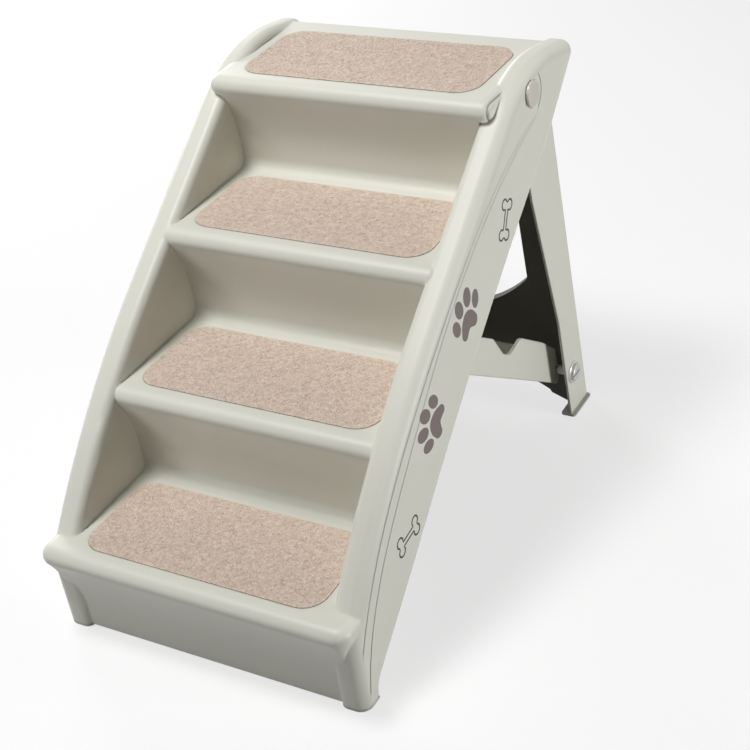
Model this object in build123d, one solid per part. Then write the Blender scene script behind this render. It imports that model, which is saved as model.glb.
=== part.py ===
from build123d import *
import os
from math import acos, atan2, cos, radians, sin

# Folding pet stairs, in millimetres: +Z up, +Y to the back, origin on the floor under the middle

# The flight of steps
step_count = 4
rise = 125
run = 150.8
first_rise = 122
width = 407
nose_reach = 24
lip_height = 11
foot_pad_height = 2.5

# The moulded shell
wall = 3
rail_width = 34.5
rail_outer_radius = 14
rail_inner_radius = 10
riser_setback = 2.9
nose_radius = 13
nose_under_angle = 30
step_foot_radius = 14
back_radius = 8
back_lip = 24
back_inset = 12
rear_corner_radius = 14
foot_bend_radius = 40
knob_radius = 17
knob_inset = 0.4
knob_tail = 28
nose_end_reach = 10
nose_end_round = 7
nose_end_depth = 30
top_nose_end_reach = 17
top_nose_end_round = 11
top_nose_end_depth = 44
groove_depth = 0.7
groove_width = 1.4
rear_groove_inset = 2.4
back_opening = 5.3
rib_thickness = 2.5
rib_spacing = 116
rib_set_back = 1.5

# The tread mats
mat_side_margin = 12.5
mat_rear_margin = 23.8
mat_to_back = 44.7
mat_corner_radius = 27
mat_thickness = 2.4
mat_recess = 1.5
mat_clearance = 0.3

# The hinge between the shell and the leg
hinge_below_top = 17
hinge_from_back = 122
hinge_pin_radius = 5
hinge_head_radius = 9
hinge_head_height = 1.8
hinge_cap_radius = 15
hinge_cap_height = 3.6
hinge_cap_round = 1.4
hinge_ring_gap = 1.3
hinge_ring_depth = 1.2
hinge_bush_radius = 7
hinge_flange_radius = 8.5
hinge_washer_radius = 10
hinge_washer_thickness = 1.5
hinge_nut_radius = 8
hinge_nut_height = 5
hinge_tail = 1.5
hinge_arc_gap = 10

# The rear leg
leg_gap = 7.5
cheek_thickness = 3
leg_tilt = 5.3
leg_back_offset = 60.3
leg_foot_width = 50
leg_top_radius = 15.5
leg_flare_start_share = 0.69
leg_flare_end_share = 0.28
leg_flare_reach = 24
leg_shoulder_drop = 55
leg_shoulder_radius = 25
leg_flare_radius = 120
cheek_boss_height = 4
cheek_boss_step = 2.5
panel_offset = 37
panel_thickness = 3
panel_top_drop = 85
panel_foot_width = 13
panel_step_inset = 38
panel_step_height = 12
panel_notch = 5
arch_height = 58
window_width = 286
window_low = 130
window_side_low = 195
window_top = 335
window_corner_radius = 30
window_rim = 9
ledge_width = 14
ledge_thickness = 3
ledge_top_drop = 95
ledge_foot_gap = 14
panel_screw_count = 3
panel_screw_radius = 1.7
panel_screw_head_radius = 3.6
panel_screw_head_height = 2
panel_screw_tail = 3
panel_screw_edge = 7
foot_shoe_width = 20
foot_shoe_margin = 2
foot_shoe_radius = 4
foot_shoe_shift = 3
foot_plug_height = 6
foot_pad_inset = 8

# The slotted stud that joins the leg and the brace
stud_height = 60
stud_back_offset = 30
stud_radius = 3.5
stud_head_radius = 11
stud_head_height = 6
stud_slot_width = 2
stud_slot_depth = 2
collar_radius = 15
collar_thickness = 2.6
collar_bevel = 1.2
sleeve_radius = 6
stud_nut_radius = 6.2
stud_nut_height = 4
stud_end_gap = 1.3
snap_hole_radius = 4.5

# The brace
brace_side_gap = 20
brace_wall = 3
brace_slope = 35.4
brace_low = 19
brace_rear_top = 24.5
brace_crown = 32
brace_front_top = 26
brace_pivot_along = 306
brace_pivot_drop = 5
brace_web_gap = 3
brace_rear_round = 6
notch_depth = 16
notch_round = 17
notch_front_slant = 36
notch_rear_slant = 22
brace_crown_fall = 1.5
brace_crown_along = 120
notch_start_along = 134
notch_end_along = 212
brace_taper_along = 250
brace_floor_start = 20
brace_floor_end = 262
rib_along = 117
rib_drop = 9
rod_radius = 4
rod_tail = 5
rod_groove_depth = 0.6
rod_clip_radius = 7
rod_clip_thickness = 1.2
rod_clip_gap = 0.5
lug_thickness = 4
lug_gap = 2.5
lug_radius = 10
lug_foot = 20

# Fits shared by the pieces
running_fit = 0.05
face_gap = 0.1
soft_gap = 0.3
overrun = 3

# Worked out from the sizes above
mat_depth = run - mat_rear_margin
top_depth = mat_depth + mat_to_back
length = nose_reach + (step_count - 1) * run + top_depth
height = first_rise + (step_count - 1) * rise + lip_height
front = -length / 2
mat_front = front + nose_reach
top_tread = first_rise + (step_count - 1) * rise
hinge_height = top_tread - hinge_below_top
back = front + length
half_width = width / 2
rail_inside = half_width - rail_width
skirt_inside = half_width - wall
cheek_outside = skirt_inside - leg_gap
cheek_inside = cheek_outside - cheek_thickness
brace_width = 2 * (cheek_inside - brace_side_gap)
mat_length = 2 * (rail_inside - mat_side_margin)
hinge_y = back - hinge_from_back
tilt = radians(leg_tilt)
slope = radians(brace_slope)
back_y = back - back_inset

# The side outline of the flight, as shares of its length and height
foot_front_share = 0.0247
arch_start_share = (0.0247, 0.197)
arch_middle_share = (0.1625, 0.4003)
arch_end_share = (0.3935, 0.6502)
rail_straight_share = 0.3935
crest_end_share = (0.9212, 0.9941)
rear_top_share = (1.0259, 0.9685)
rear_bend_share = (0.8703, 0.7947)
rear_middle_share = (0.5621, 0.5183)
rear_low_share = (0.2394, 0.1874)
heel_share = (0.0838, 0.0297)
foot_back_share = 0.08
front_groove_shares = [
    (0.0163, 0.0514), (0.0389, 0.1369), (0.1219, 0.3097), (0.2528, 0.4795), (0.4123, 0.638), (0.5923, 0.7841),
    (0.8199, 0.8897),
]
second_groove_shares = [
    (0.0434, 0.0355), (0.0633, 0.1251), (0.1383, 0.2848), (0.2711, 0.4591), (0.4238, 0.629), (0.6036, 0.7764),
    (0.8199, 0.8837),
]


def flight_point(shares):
    """A point of the side view, from its shares of the length and height"""
    return (front + length * shares[0], height * shares[1])


def tread_height(step):
    return first_rise + step * rise


def mat_start(step):
    return mat_front + step * run


def leg_point(back_of_pin, below_pin):
    """A point of the side view from its place on the leg, square to the leg's back edge"""
    y = hinge_y + back_of_pin * cos(tilt) + below_pin * sin(tilt)
    z = hinge_height + back_of_pin * sin(tilt) - below_pin * cos(tilt)
    return (y, z)


def leg_drop(back_of_pin, z):
    """How far below the pin, along the leg, a height lies"""
    return (hinge_height + back_of_pin * sin(tilt) - z) / cos(tilt)


def leg_plane(x):
    """A plane square to X at the pin, with its own X axis square to the leg's back edge"""
    return Plane(origin=(x, hinge_y, hinge_height), x_dir=(0, cos(tilt), sin(tilt)), z_dir=(1, 0, 0))


stud_point = leg_point(stud_back_offset, leg_drop(stud_back_offset, stud_height))


def brace_point(along, above):
    """A point of the side view from its place on the brace, forward of the stud and above its axis"""
    y = stud_point[0] - along * cos(slope) + above * sin(slope)
    z = stud_point[1] + along * sin(slope) + above * cos(slope)
    return (y, z)


pivot_point = brace_point(brace_pivot_along, -brace_pivot_drop)


def write(solid, name):
    export_step(solid, os.path.join("parts", name + ".step"))


def both_sides(make, name):
    """Write the piece on the right as it is made and its mirror image on the left"""
    piece = make()
    write(piece, name + "_right")
    write(mirror(piece, about=Plane.YZ), name + "_left")


def disc(y, z, radius, start, end):
    """A round bar along X between two distances from the middle"""
    return Plane(origin=(start, y, z), z_dir=(1, 0, 0)) * Cylinder(
        radius, end - start, align=(Align.CENTER, Align.CENTER, Align.MIN))


def slab(face, start, end):
    """A face of the side view made solid between two distances from the middle"""
    plane = Plane(origin=(start, 0, 0), x_dir=(0, 1, 0), z_dir=(1, 0, 0))
    return plane * extrude(face, end - start)


def outline(*points):
    """A face of the side view with straight edges"""
    return make_face(Polyline(*points, close=True))


def side_box(y_start, y_end, z_start, z_end, x_start, x_end):
    """A block between two places on each axis"""
    size = (x_end - x_start, y_end - y_start, z_end - z_start)
    return Pos(x_start, y_start, z_start) * Box(*size, align=(Align.MIN, Align.MIN, Align.MIN))


def nose_centre(step):
    return (mat_start(step) - nose_reach + nose_radius, tread_height(step) - nose_radius)


def nose_foot(step):
    """The point under the nose where its round front turns into the riser"""
    turn = radians(nose_under_angle)
    y, z = nose_centre(step)
    return (y - nose_radius * cos(turn), z - nose_radius * sin(turn))


def riser_face(step):
    return mat_start(step) - riser_setback


def riser_curve_start(step):
    """The height where the riser starts to curve forward under the nose"""
    turn = radians(nose_under_angle)
    y, z = nose_foot(step)
    return z - (riser_face(step) - y) * sin(turn) / (1 - cos(turn))


def riser_and_nose(step):
    """The concave riser and the round nose above it"""
    y, z = nose_centre(step)
    TangentArc((riser_face(step), riser_curve_start(step)), nose_foot(step), tangent=(0, 1))
    middle = nose_radius * cos(radians(45))
    ThreePointArc(nose_foot(step), (y - middle, z + middle), (y, z + nose_radius))


def step_profile():
    """The visible line of the steps, from the foot of the first riser to the lip behind the top"""
    Line((riser_face(0), foot_pad_height), (riser_face(0), riser_curve_start(0)))
    for step in range(step_count):
        riser_and_nose(step)
        z = tread_height(step)
        if step < step_count - 1:
            face = riser_face(step + 1)
            Line((nose_centre(step)[0], z), (face - step_foot_radius, z))
            TangentArc((face - step_foot_radius, z), (face, z + step_foot_radius), tangent=(1, 0))
            Line((face, z + step_foot_radius), (face, riser_curve_start(step + 1)))
    Line((nose_centre(step_count - 1)[0], top_tread), (back_y - back_radius, top_tread))
    TangentArc((back_y - back_radius, top_tread), (back_y, top_tread - back_radius), tangent=(1, 0))
    Line((back_y, top_tread - back_radius), (back_y, top_tread - back_lip))


def step_skin_face():
    """The wall of the steps in the side view"""
    with BuildSketch() as sketch:
        with BuildLine():
            step_profile()
            offset(amount=wall, side=Side.RIGHT)
        make_face()
    return sketch.sketch


def under_steps_face():
    """Everything behind and below the wall of the steps in the side view"""
    with BuildSketch() as sketch:
        with BuildLine():
            step_profile()
            Polyline(
                (back_y, top_tread - back_lip),
                (back + length, top_tread - back_lip),
                (back + length, -height),
                (riser_face(0), -height),
                (riser_face(0), foot_pad_height),
            )
        make_face()
    return offset(sketch.sketch, amount=-wall)


def side_face():
    """One side of the flight: bowed front, rounded crest, open back and foot"""
    foot_front = (front + length * foot_front_share, foot_pad_height)
    foot_back = (front + length * foot_back_share, foot_pad_height)
    arch_start = flight_point(arch_start_share)
    rear_top = flight_point(rear_top_share)
    with BuildSketch() as sketch:
        with BuildLine():
            Line(foot_front, arch_start)
            arch = ThreePointArc(arch_start, flight_point(arch_middle_share), flight_point(arch_end_share))
            straight = Line(arch @ 1, arch @ 1 + (arch % 1) * length * rail_straight_share)
            TangentArc(straight @ 1, flight_point(crest_end_share), tangent=straight % 1)
            Polyline(flight_point(crest_end_share), rear_top, flight_point(rear_bend_share))
            ThreePointArc(
                flight_point(rear_bend_share), flight_point(rear_middle_share), flight_point(rear_low_share))
            Polyline(flight_point(rear_low_share), flight_point(heel_share), foot_back, foot_front)
        make_face()
        corners = sketch.vertices()
        fillet(corners.sort_by_distance(rear_top)[0], rear_corner_radius)
        fillet(sketch.vertices().sort_by_distance(arch_start)[0], foot_bend_radius)
        fillet(sketch.vertices().sort_by_distance(flight_point(heel_share))[0], foot_bend_radius / 2)
        fillet(sketch.vertices().sort_by_distance(flight_point(rear_bend_share))[0], foot_bend_radius / 2)
    return sketch.sketch


def front_edges(solid, x):
    """The edges of a side's block at one distance from the middle, along its front and crest"""
    foot = (front + length * foot_front_share, foot_pad_height)
    top = flight_point(rear_top_share)
    chosen = []
    for edge in solid.edges().filter_by(lambda e: abs((e @ 0).X - x) < face_gap and abs((e @ 1).X - x) < face_gap):
        middle = edge @ 0.5
        turn = (top[0] - foot[0]) * (middle.Z - foot[1]) - (top[1] - foot[1]) * (middle.Y - foot[0])
        if turn > 0:
            chosen.append(edge)
    return chosen


def rail_block():
    """The full form of the right side, rounded along its front"""
    block = slab(side_face(), rail_inside, half_width)
    block = fillet(front_edges(block, half_width), rail_outer_radius)
    return fillet(front_edges(block, rail_inside), rail_inner_radius)


def rail_core():
    """The hollow of the right side, open along the back"""
    core = slab(offset(side_face(), amount=-wall), rail_inside + wall, skirt_inside)
    core = fillet(front_edges(core, skirt_inside), rail_outer_radius - wall)
    core = fillet(front_edges(core, rail_inside + wall), rail_inner_radius - wall)
    return core + Pos(0, back_opening, -2 * back_opening) * core


def foot_opening(core):
    """The lowest slice of the hollow, moved down through the foot"""
    low = foot_pad_height + wall
    band = side_box(front, back, low, low + 3 * wall, rail_inside, half_width)
    return Pos(0, 0, -2 * wall) * (core & band)


def knob_face(step, depth):
    """The nose and the riser's curve of one step in the side view, as far back as a depth"""
    nose_front = mat_start(step) - nose_reach
    y, z = nose_centre(step)
    tail = riser_face(step) + knob_tail
    with BuildSketch() as sketch:
        with BuildLine():
            riser_and_nose(step)
            Polyline(
                (y, z + nose_radius),
                (tail, tread_height(step)),
                (tail, riser_curve_start(step)),
                (riser_face(step), riser_curve_start(step)),
            )
        make_face()
        with Locations((nose_front + depth / 2, tread_height(step) - rise / 2)):
            Rectangle(depth, 2 * rise, mode=Mode.INTERSECT)
    return sketch.sketch


def knob(step):
    """The end of the first nose, which wraps round the front of the right side"""
    nose_front = mat_start(step) - nose_reach
    corner_x = half_width - knob_inset - knob_radius
    axis = Axis((corner_x, nose_front + knob_radius, 0), (0, 0, 1))
    plane = Plane(origin=(corner_x, 0, 0), x_dir=(0, 1, 0), z_dir=(1, 0, 0))
    corner_face = plane * knob_face(step, knob_radius)
    straight = slab(knob_face(step, knob_radius + knob_tail), rail_inside, corner_x)
    corner = revolve(corner_face, axis, 90)
    tail = extrude(corner_face.rotate(axis, 90), knob_tail, dir=(0, 1, 0))
    return straight + corner + tail


def nose_end_face(step, depth, inset):
    """An upper nose in the side view, closed at a depth behind, drawn in by an inset"""
    y, z = nose_centre(step)
    radius = nose_radius - inset
    behind = Pos(y, z) * Rectangle(depth - inset, 2 * radius, align=(Align.MIN, Align.CENTER))
    return Pos(y, z) * Circle(radius) + behind


def nose_end(step, reach, depth, end_round):
    """The hollow, rounded end of an upper nose, let into the rounded edge of the right side"""
    end = rail_inside + reach
    outer = slab(nose_end_face(step, depth, 0), rail_inside, end)
    outer = fillet(outer.edges().filter_by_position(Axis.X, end - face_gap, end + face_gap), end_round)
    return outer - slab(nose_end_face(step, depth, wall), rail_inside - overrun, end - wall)


def ridge_point(step, set_back):
    """The inner corner between a tread and the riser behind it, moved square to the line of corners"""
    return (riser_face(step + 1) + wall - set_back, tread_height(step) - wall + set_back)


def rib_face():
    """The stiffening rib that fills the inside of each step up to the line of inner corners"""
    low = ridge_point(-1, rib_set_back)
    high = ridge_point(step_count, rib_set_back)
    above = outline(low, high, (front, high[1]), (front, low[1]))
    floor_level = Pos(0, foot_pad_height + wall) * Rectangle(
        2 * length, 2 * height, align=(Align.CENTER, Align.MIN))
    return under_steps_face() & above & floor_level


def lug_face():
    """The lug in the side view that carries the brace's rod under a step"""
    y, z = ridge_point(1, 0)
    lean = atan2(z - pivot_point[1], y - pivot_point[0])
    side_y = lug_radius * sin(lean)
    side_z = -lug_radius * cos(lean)
    bend_y = riser_face(2) - step_foot_radius
    bend_z = tread_height(1) + step_foot_radius
    bend = (step_foot_radius + wall / 2) * cos(radians(45))
    arm = outline(
        (y - lug_foot, z + wall / 2),
        (bend_y, z + wall / 2),
        (bend_y + bend, bend_z - bend),
        (y - wall / 2, bend_z),
        (y - wall / 2, z + lug_foot),
        (pivot_point[0] + side_y, pivot_point[1] + side_z),
        (pivot_point[0] - side_y, pivot_point[1] - side_z),
    )
    return arm + Pos(*pivot_point) * Circle(lug_radius)


def groove_face(shares):
    """A thin groove along the outside of a side, through places given as shares"""
    front_line = [flight_point(place) for place in shares]
    rear_line = [(y + groove_width, z) for y, z in front_line]
    return make_face([Spline(*front_line), Line(front_line[-1], rear_line[-1]),
                      Spline(*reversed(rear_line)), Line(rear_line[0], front_line[0])])


def rear_groove_face():
    """The thin groove just inside the rear edge of a side, from its foot to its bend"""
    bend, middle, low, heel = [
        flight_point(share) for share in (rear_bend_share, rear_middle_share, rear_low_share, heel_share)]
    lean = atan2(bend[1] - low[1], bend[0] - low[0])

    def moved(place, inset):
        return (place[0] - inset * sin(lean), place[1] + inset * cos(lean))

    near = [moved(place, rear_groove_inset) for place in (bend, middle, low, heel)]
    far = [moved(place, rear_groove_inset + groove_width) for place in (bend, middle, low, heel)]
    return make_face([
        ThreePointArc(*near[:3]), Line(near[2], near[3]), Line(near[3], far[3]), Line(far[3], far[2]),
        ThreePointArc(far[2], far[1], far[0]), Line(far[0], near[0])])


def hinge_arc_face():
    """The thin groove that runs on round the back of the hinge"""
    inner = hinge_cap_radius + hinge_arc_gap
    ring = Circle(inner + groove_width) - Circle(inner)
    side = Pos(inner / 2, 0) * Rectangle(inner + 2 * groove_width, 4 * inner, align=(Align.MIN, Align.CENTER))
    return Pos(hinge_y, hinge_height) * (ring & side)


def mat_plate(step, thickness, margin):
    """A rounded plate over a tread, from the floor of its recess up"""
    face = RectangleRounded(mat_length + 2 * margin, mat_depth + 2 * margin, mat_corner_radius + margin)
    place = Pos(0, mat_start(step) + mat_depth / 2, tread_height(step) - mat_recess)
    return place * extrude(face, thickness)


def stair_body():
    """The one-piece moulded flight: treads, risers, noses, two hollow sides, ribs and lugs"""
    right = rail_block() + knob(0)
    core = rail_core()
    right -= core
    right -= foot_opening(core)
    right -= slab(under_steps_face(), rail_inside - overrun, rail_inside + wall)
    for face in (groove_face(front_groove_shares), groove_face(second_groove_shares), rear_groove_face(),
                 hinge_arc_face()):
        right -= slab(face, half_width - groove_depth, half_width + overrun)
    right -= (disc(hinge_y, hinge_height, hinge_cap_radius + hinge_ring_gap, half_width - hinge_ring_depth,
                   half_width + overrun)
              - disc(hinge_y, hinge_height, hinge_cap_radius, half_width - overrun, half_width + 2 * overrun))
    right -= disc(hinge_y, hinge_height, hinge_bush_radius + running_fit, skirt_inside - overrun,
                  half_width + overrun)
    for step in range(1, step_count - 1):
        right += nose_end(step, nose_end_reach, nose_end_depth, nose_end_round)
    right += nose_end(step_count - 1, top_nose_end_reach, top_nose_end_depth, top_nose_end_round)
    skin = slab(step_skin_face(), -rail_inside - wall, rail_inside + wall)
    body = skin + right + mirror(right, about=Plane.YZ)
    lug_outside = brace_width / 2 - brace_wall - lug_gap
    lug = slab(lug_face(), lug_outside - lug_thickness, lug_outside)
    rib = slab(rib_face(), (rib_spacing - rib_thickness) / 2, (rib_spacing + rib_thickness) / 2)
    body += [rib, mirror(rib, about=Plane.YZ), lug, mirror(lug, about=Plane.YZ)]
    body -= disc(*pivot_point, rod_radius + running_fit, -brace_width / 2, brace_width / 2)
    for step in range(step_count):
        body -= mat_plate(step, mat_recess + overrun, mat_clearance)
    return body


def front_foot():
    """The rubber foot under the right side, with a plug that fills the hollow"""
    y_start = front + length * foot_front_share
    y_end = front + length * foot_back_share - foot_pad_inset
    depth = y_end - y_start
    outer = Pos((rail_inside + half_width) / 2, (y_start + y_end) / 2) * Rectangle(rail_width, depth)
    corners = outer.vertices().sort_by(Axis.Y)[:2].sort_by(Axis.X)
    outer = fillet(corners[1], rail_outer_radius)
    outer = fillet(outer.vertices().sort_by_distance((rail_inside, y_start))[0], rail_inner_radius)
    pad = extrude(outer, foot_pad_height)
    plug_face = offset(outer, amount=-wall - soft_gap)
    plug = extrude(plug_face, foot_pad_height + foot_plug_height)
    return pad + plug


def rear_foot():
    """The rubber shoe under the foot of the right cheek"""
    low = leg_drop(leg_back_offset, foot_pad_height)
    y_end = leg_point(leg_back_offset, low)[0] + foot_shoe_margin
    y_start = y_end - leg_foot_width - 2 * foot_shoe_margin
    middle = (cheek_inside + cheek_outside) / 2 - foot_shoe_shift
    face = RectangleRounded(foot_shoe_width, y_end - y_start, foot_shoe_radius)
    return Pos(middle, (y_start + y_end) / 2) * extrude(face, foot_pad_height)


def hinge_pin():
    """The headed pin through the right side and its cheek"""
    inner_end = washer_inside() - hinge_nut_height - hinge_tail
    shank = disc(hinge_y, hinge_height, hinge_pin_radius, inner_end, half_width)
    head = disc(hinge_y, hinge_height, hinge_head_radius, half_width, half_width + hinge_head_height)
    return shank + head


def washer_inside():
    """How far from the middle the inner face of the hinge washer lies"""
    return cheek_inside - cheek_boss_height - face_gap - hinge_washer_thickness


def hinge_cap():
    """The round cap over the head of the hinge pin"""
    cap = disc(hinge_y, hinge_height, hinge_cap_radius, half_width, half_width + hinge_cap_height)
    cap = fillet(cap.edges().filter_by(GeomType.CIRCLE).sort_by(Axis.X)[-1], hinge_cap_round)
    return cap - disc(hinge_y, hinge_height, hinge_head_radius + running_fit, half_width - overrun,
                      half_width + hinge_head_height + running_fit)


def hinge_bush():
    """The flanged bush between the right side, its pin and its cheek"""
    flange = disc(hinge_y, hinge_height, hinge_flange_radius, cheek_outside + face_gap, skirt_inside)
    sleeve = disc(hinge_y, hinge_height, hinge_bush_radius, skirt_inside, half_width - face_gap)
    return flange + sleeve - disc(hinge_y, hinge_height, hinge_pin_radius + running_fit,
                                  cheek_outside, half_width + overrun)


def hinge_washer():
    """The washer inside the right cheek"""
    start = washer_inside()
    ring = disc(hinge_y, hinge_height, hinge_washer_radius, start, start + hinge_washer_thickness)
    return ring - disc(hinge_y, hinge_height, hinge_pin_radius + running_fit, start - overrun,
                       start + hinge_washer_thickness + overrun)


def hex_nut(y, z, radius, hole_radius, start, end):
    """A six-sided nut along X"""
    plane = Plane(origin=(start, y, z), z_dir=(1, 0, 0))
    return plane * extrude(RegularPolygon(radius, 6) - Circle(hole_radius), end - start)


def hinge_nut():
    """The nut on the inner end of the hinge pin"""
    end = washer_inside()
    return hex_nut(hinge_y, hinge_height, hinge_nut_radius, hinge_pin_radius + running_fit,
                   end - hinge_nut_height, end)


def cheek_face():
    """The flat side of the rear leg, square to its back edge, with the pin as its origin"""
    floor_drop = leg_drop(leg_back_offset, 0) + overrun
    leg_length = leg_drop(0, 0)
    foot_front = leg_back_offset - leg_foot_width
    flare_low = -leg_flare_start_share * leg_length
    flare_high = -leg_flare_end_share * leg_length
    shoulder_way = (leg_back_offset ** 2 + leg_shoulder_drop ** 2) ** 0.5
    turn = acos(leg_top_radius / shoulder_way) - atan2(leg_shoulder_drop, leg_back_offset)
    top = (leg_top_radius * cos(turn), leg_top_radius * sin(turn))
    shoulder = (leg_back_offset, -leg_shoulder_drop)
    face = outline(
        (-leg_top_radius, 0), (foot_front - leg_flare_reach, flare_high), (foot_front, flare_low),
        (foot_front, -floor_drop), (leg_back_offset, -floor_drop), shoulder, top)
    face = fillet(face.vertices().sort_by_distance(shoulder)[0], leg_shoulder_radius)
    face = fillet(face.vertices().sort_by_distance((foot_front, flare_low))[0], leg_flare_radius)
    return face + Circle(leg_top_radius)


def above_floor(solid):
    """What of a leg piece stands over its rubber foot"""
    block = side_box(front - length, back + length, foot_pad_height - height, foot_pad_height, -width, width)
    return solid - block


def leg_cheek():
    """The right cheek of the rear leg, with the ledge that the panel is screwed to"""
    cheek = leg_plane(cheek_inside) * extrude(cheek_face(), cheek_thickness)
    boss_radius = leg_top_radius - cheek_boss_step
    boss = disc(hinge_y, hinge_height, boss_radius, cheek_inside - cheek_boss_height, cheek_inside)
    ledge_back = panel_offset + panel_thickness + ledge_thickness
    ledge_foot = leg_drop(panel_offset, 0) - ledge_foot_gap
    ledge = leg_plane(cheek_inside - ledge_width) * extrude(
        outline(
            (ledge_back - ledge_thickness, -ledge_top_drop), (ledge_back, -ledge_top_drop),
            (ledge_back, -ledge_foot), (ledge_back - ledge_thickness, -ledge_foot)),
        ledge_width)
    cheek = above_floor(cheek + boss + ledge)
    cheek -= disc(hinge_y, hinge_height, hinge_pin_radius + running_fit, cheek_inside - half_width / 2, half_width)
    cheek -= disc(*stud_point, stud_radius + running_fit, cheek_inside - half_width / 2, half_width)
    return cheek - panel_screw_holes()


def panel_plane(offset_here):
    """A plane along the leg and across the stairs, with X across and Y down the leg from the pin"""
    origin = (0, hinge_y + offset_here * cos(tilt), hinge_height + offset_here * sin(tilt))
    return Plane(origin=origin, x_dir=(1, 0, 0), z_dir=(0, cos(tilt), sin(tilt)))


def panel_screw_places():
    """The places of the right column of panel screws, across and down the leg"""
    top = ledge_top_drop + 2 * panel_screw_edge
    low = leg_drop(panel_offset, 0) - ledge_foot_gap - 2 * panel_screw_edge
    x = cheek_inside - panel_screw_edge
    return [(x, top + (low - top) * place / (panel_screw_count - 1)) for place in range(panel_screw_count)]


def panel_screw_holes():
    """Clearance for the right column of panel screws through the panel and its ledge"""
    depth = panel_thickness + ledge_thickness + 2 * overrun
    holes = [
        panel_plane(panel_offset - overrun) * Pos(x, drop) * Cylinder(
            panel_screw_radius + running_fit, depth, align=(Align.CENTER, Align.CENTER, Align.MIN))
        for x, drop in panel_screw_places()
    ]
    return Compound(children=holes)


def panel_screws():
    """The right column of screws that hold the panel to its ledge"""
    screws = []
    shank_length = panel_thickness + ledge_thickness + panel_screw_tail
    low = (Align.CENTER, Align.CENTER, Align.MIN)
    for x, drop in panel_screw_places():
        head = panel_plane(panel_offset - panel_screw_head_height) * Pos(x, drop) * Cylinder(
            panel_screw_head_radius, panel_screw_head_height, align=low)
        shank = panel_plane(panel_offset) * Pos(x, drop) * Cylinder(panel_screw_radius, shank_length, align=low)
        screws.append(head + shank)
    return Compound(children=screws)


def window_face():
    """The window of the panel, with its sagging lower edge"""
    side = window_width / 2
    top = leg_drop(panel_offset, window_top)
    low = leg_drop(panel_offset, window_side_low)
    bottom = leg_drop(panel_offset, window_low)
    face = make_face([
        Polyline((side, low), (side, top), (-side, top), (-side, low)),
        ThreePointArc((-side, low), (0, bottom), (side, low)),
    ])
    return fillet(face.vertices().group_by(Axis.Y)[0], window_corner_radius)


def arch_face():
    """The space under the panel, with a step beside each foot"""
    base = leg_drop(panel_offset, foot_pad_height)
    foot_x = cheek_inside - face_gap - panel_foot_width
    step_x = cheek_inside - panel_step_inset
    step_drop = leg_drop(panel_offset, panel_step_height)
    notch_drop = leg_drop(panel_offset, panel_step_height + panel_notch)
    apex = leg_drop(panel_offset, arch_height)
    return make_face([
        Polyline((-step_x, notch_drop), (-step_x - panel_notch / 2, step_drop), (-foot_x, base),
                 (-foot_x, base + overrun), (foot_x, base + overrun), (foot_x, base),
                 (step_x + panel_notch / 2, step_drop), (step_x, notch_drop)),
        ThreePointArc((step_x, notch_drop), (0, apex), (-step_x, notch_drop)),
    ])


def leg_panel():
    """The dark panel between the cheeks, with a window, a rim behind it and an arch below"""
    side = cheek_inside - face_gap
    base = leg_drop(panel_offset, foot_pad_height)
    sheet = Pos(0, (panel_top_drop + base) / 2) * Rectangle(2 * side, base - panel_top_drop)
    window = window_face()
    rim = offset(window, amount=wall) - window
    panel = panel_plane(panel_offset) * extrude(sheet - window - arch_face(), panel_thickness)
    panel += panel_plane(panel_offset) * extrude(rim, panel_thickness + window_rim)
    panel -= panel_screw_holes()
    return panel - mirror(panel_screw_holes(), about=Plane.YZ)


def leg_stud():
    """The slotted stud through the right cheek, whose domed end carries the brace"""
    inner_end = brace_width / 2 + stud_end_gap
    shank = disc(*stud_point, stud_radius, inner_end, cheek_outside)
    shank = fillet(shank.edges().filter_by(GeomType.CIRCLE).sort_by(Axis.X)[0], stud_radius / 2)
    head = disc(*stud_point, stud_head_radius, cheek_outside, cheek_outside + stud_head_height)
    head = fillet(head.edges().filter_by(GeomType.CIRCLE).sort_by(Axis.X)[-1], stud_slot_depth / 2)
    y, z = stud_point
    top = cheek_outside + stud_head_height
    slot = side_box(y - half_width, y + half_width, z - stud_slot_width / 2, z + stud_slot_width / 2,
                    top - stud_slot_depth, top + overrun)
    return shank + head - slot


def stud_collar():
    """The bevelled ring round the head of the right stud"""
    ring = disc(*stud_point, collar_radius, cheek_outside, cheek_outside + collar_thickness)
    ring = chamfer(ring.edges().filter_by(GeomType.CIRCLE).sort_by(Axis.X)[-1], collar_bevel)
    return ring - disc(*stud_point, stud_head_radius + running_fit, cheek_outside - overrun, half_width + overrun)


def stud_nut():
    """The nut that clamps the right stud to its cheek"""
    return hex_nut(*stud_point, stud_nut_radius, stud_radius + running_fit,
                   cheek_inside - stud_nut_height, cheek_inside)


def stud_sleeve():
    """The sleeve over the inner part of the right stud"""
    end = cheek_inside - stud_nut_height
    start = brace_width / 2 + 2 * stud_end_gap
    sleeve = disc(*stud_point, sleeve_radius, start, end)
    return sleeve - disc(*stud_point, stud_radius + running_fit, start - overrun, end + overrun)


def brace_rear(above):
    """How far along the brace its rear edge lies, just clear of the panel"""
    reach = stud_back_offset - panel_offset + brace_web_gap + above * sin(slope + tilt)
    return reach / cos(slope + tilt)


def brace_outline(*places):
    """A face of the side view from places on the brace"""
    return outline(*[brace_point(along, above) for along, above in places])


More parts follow.
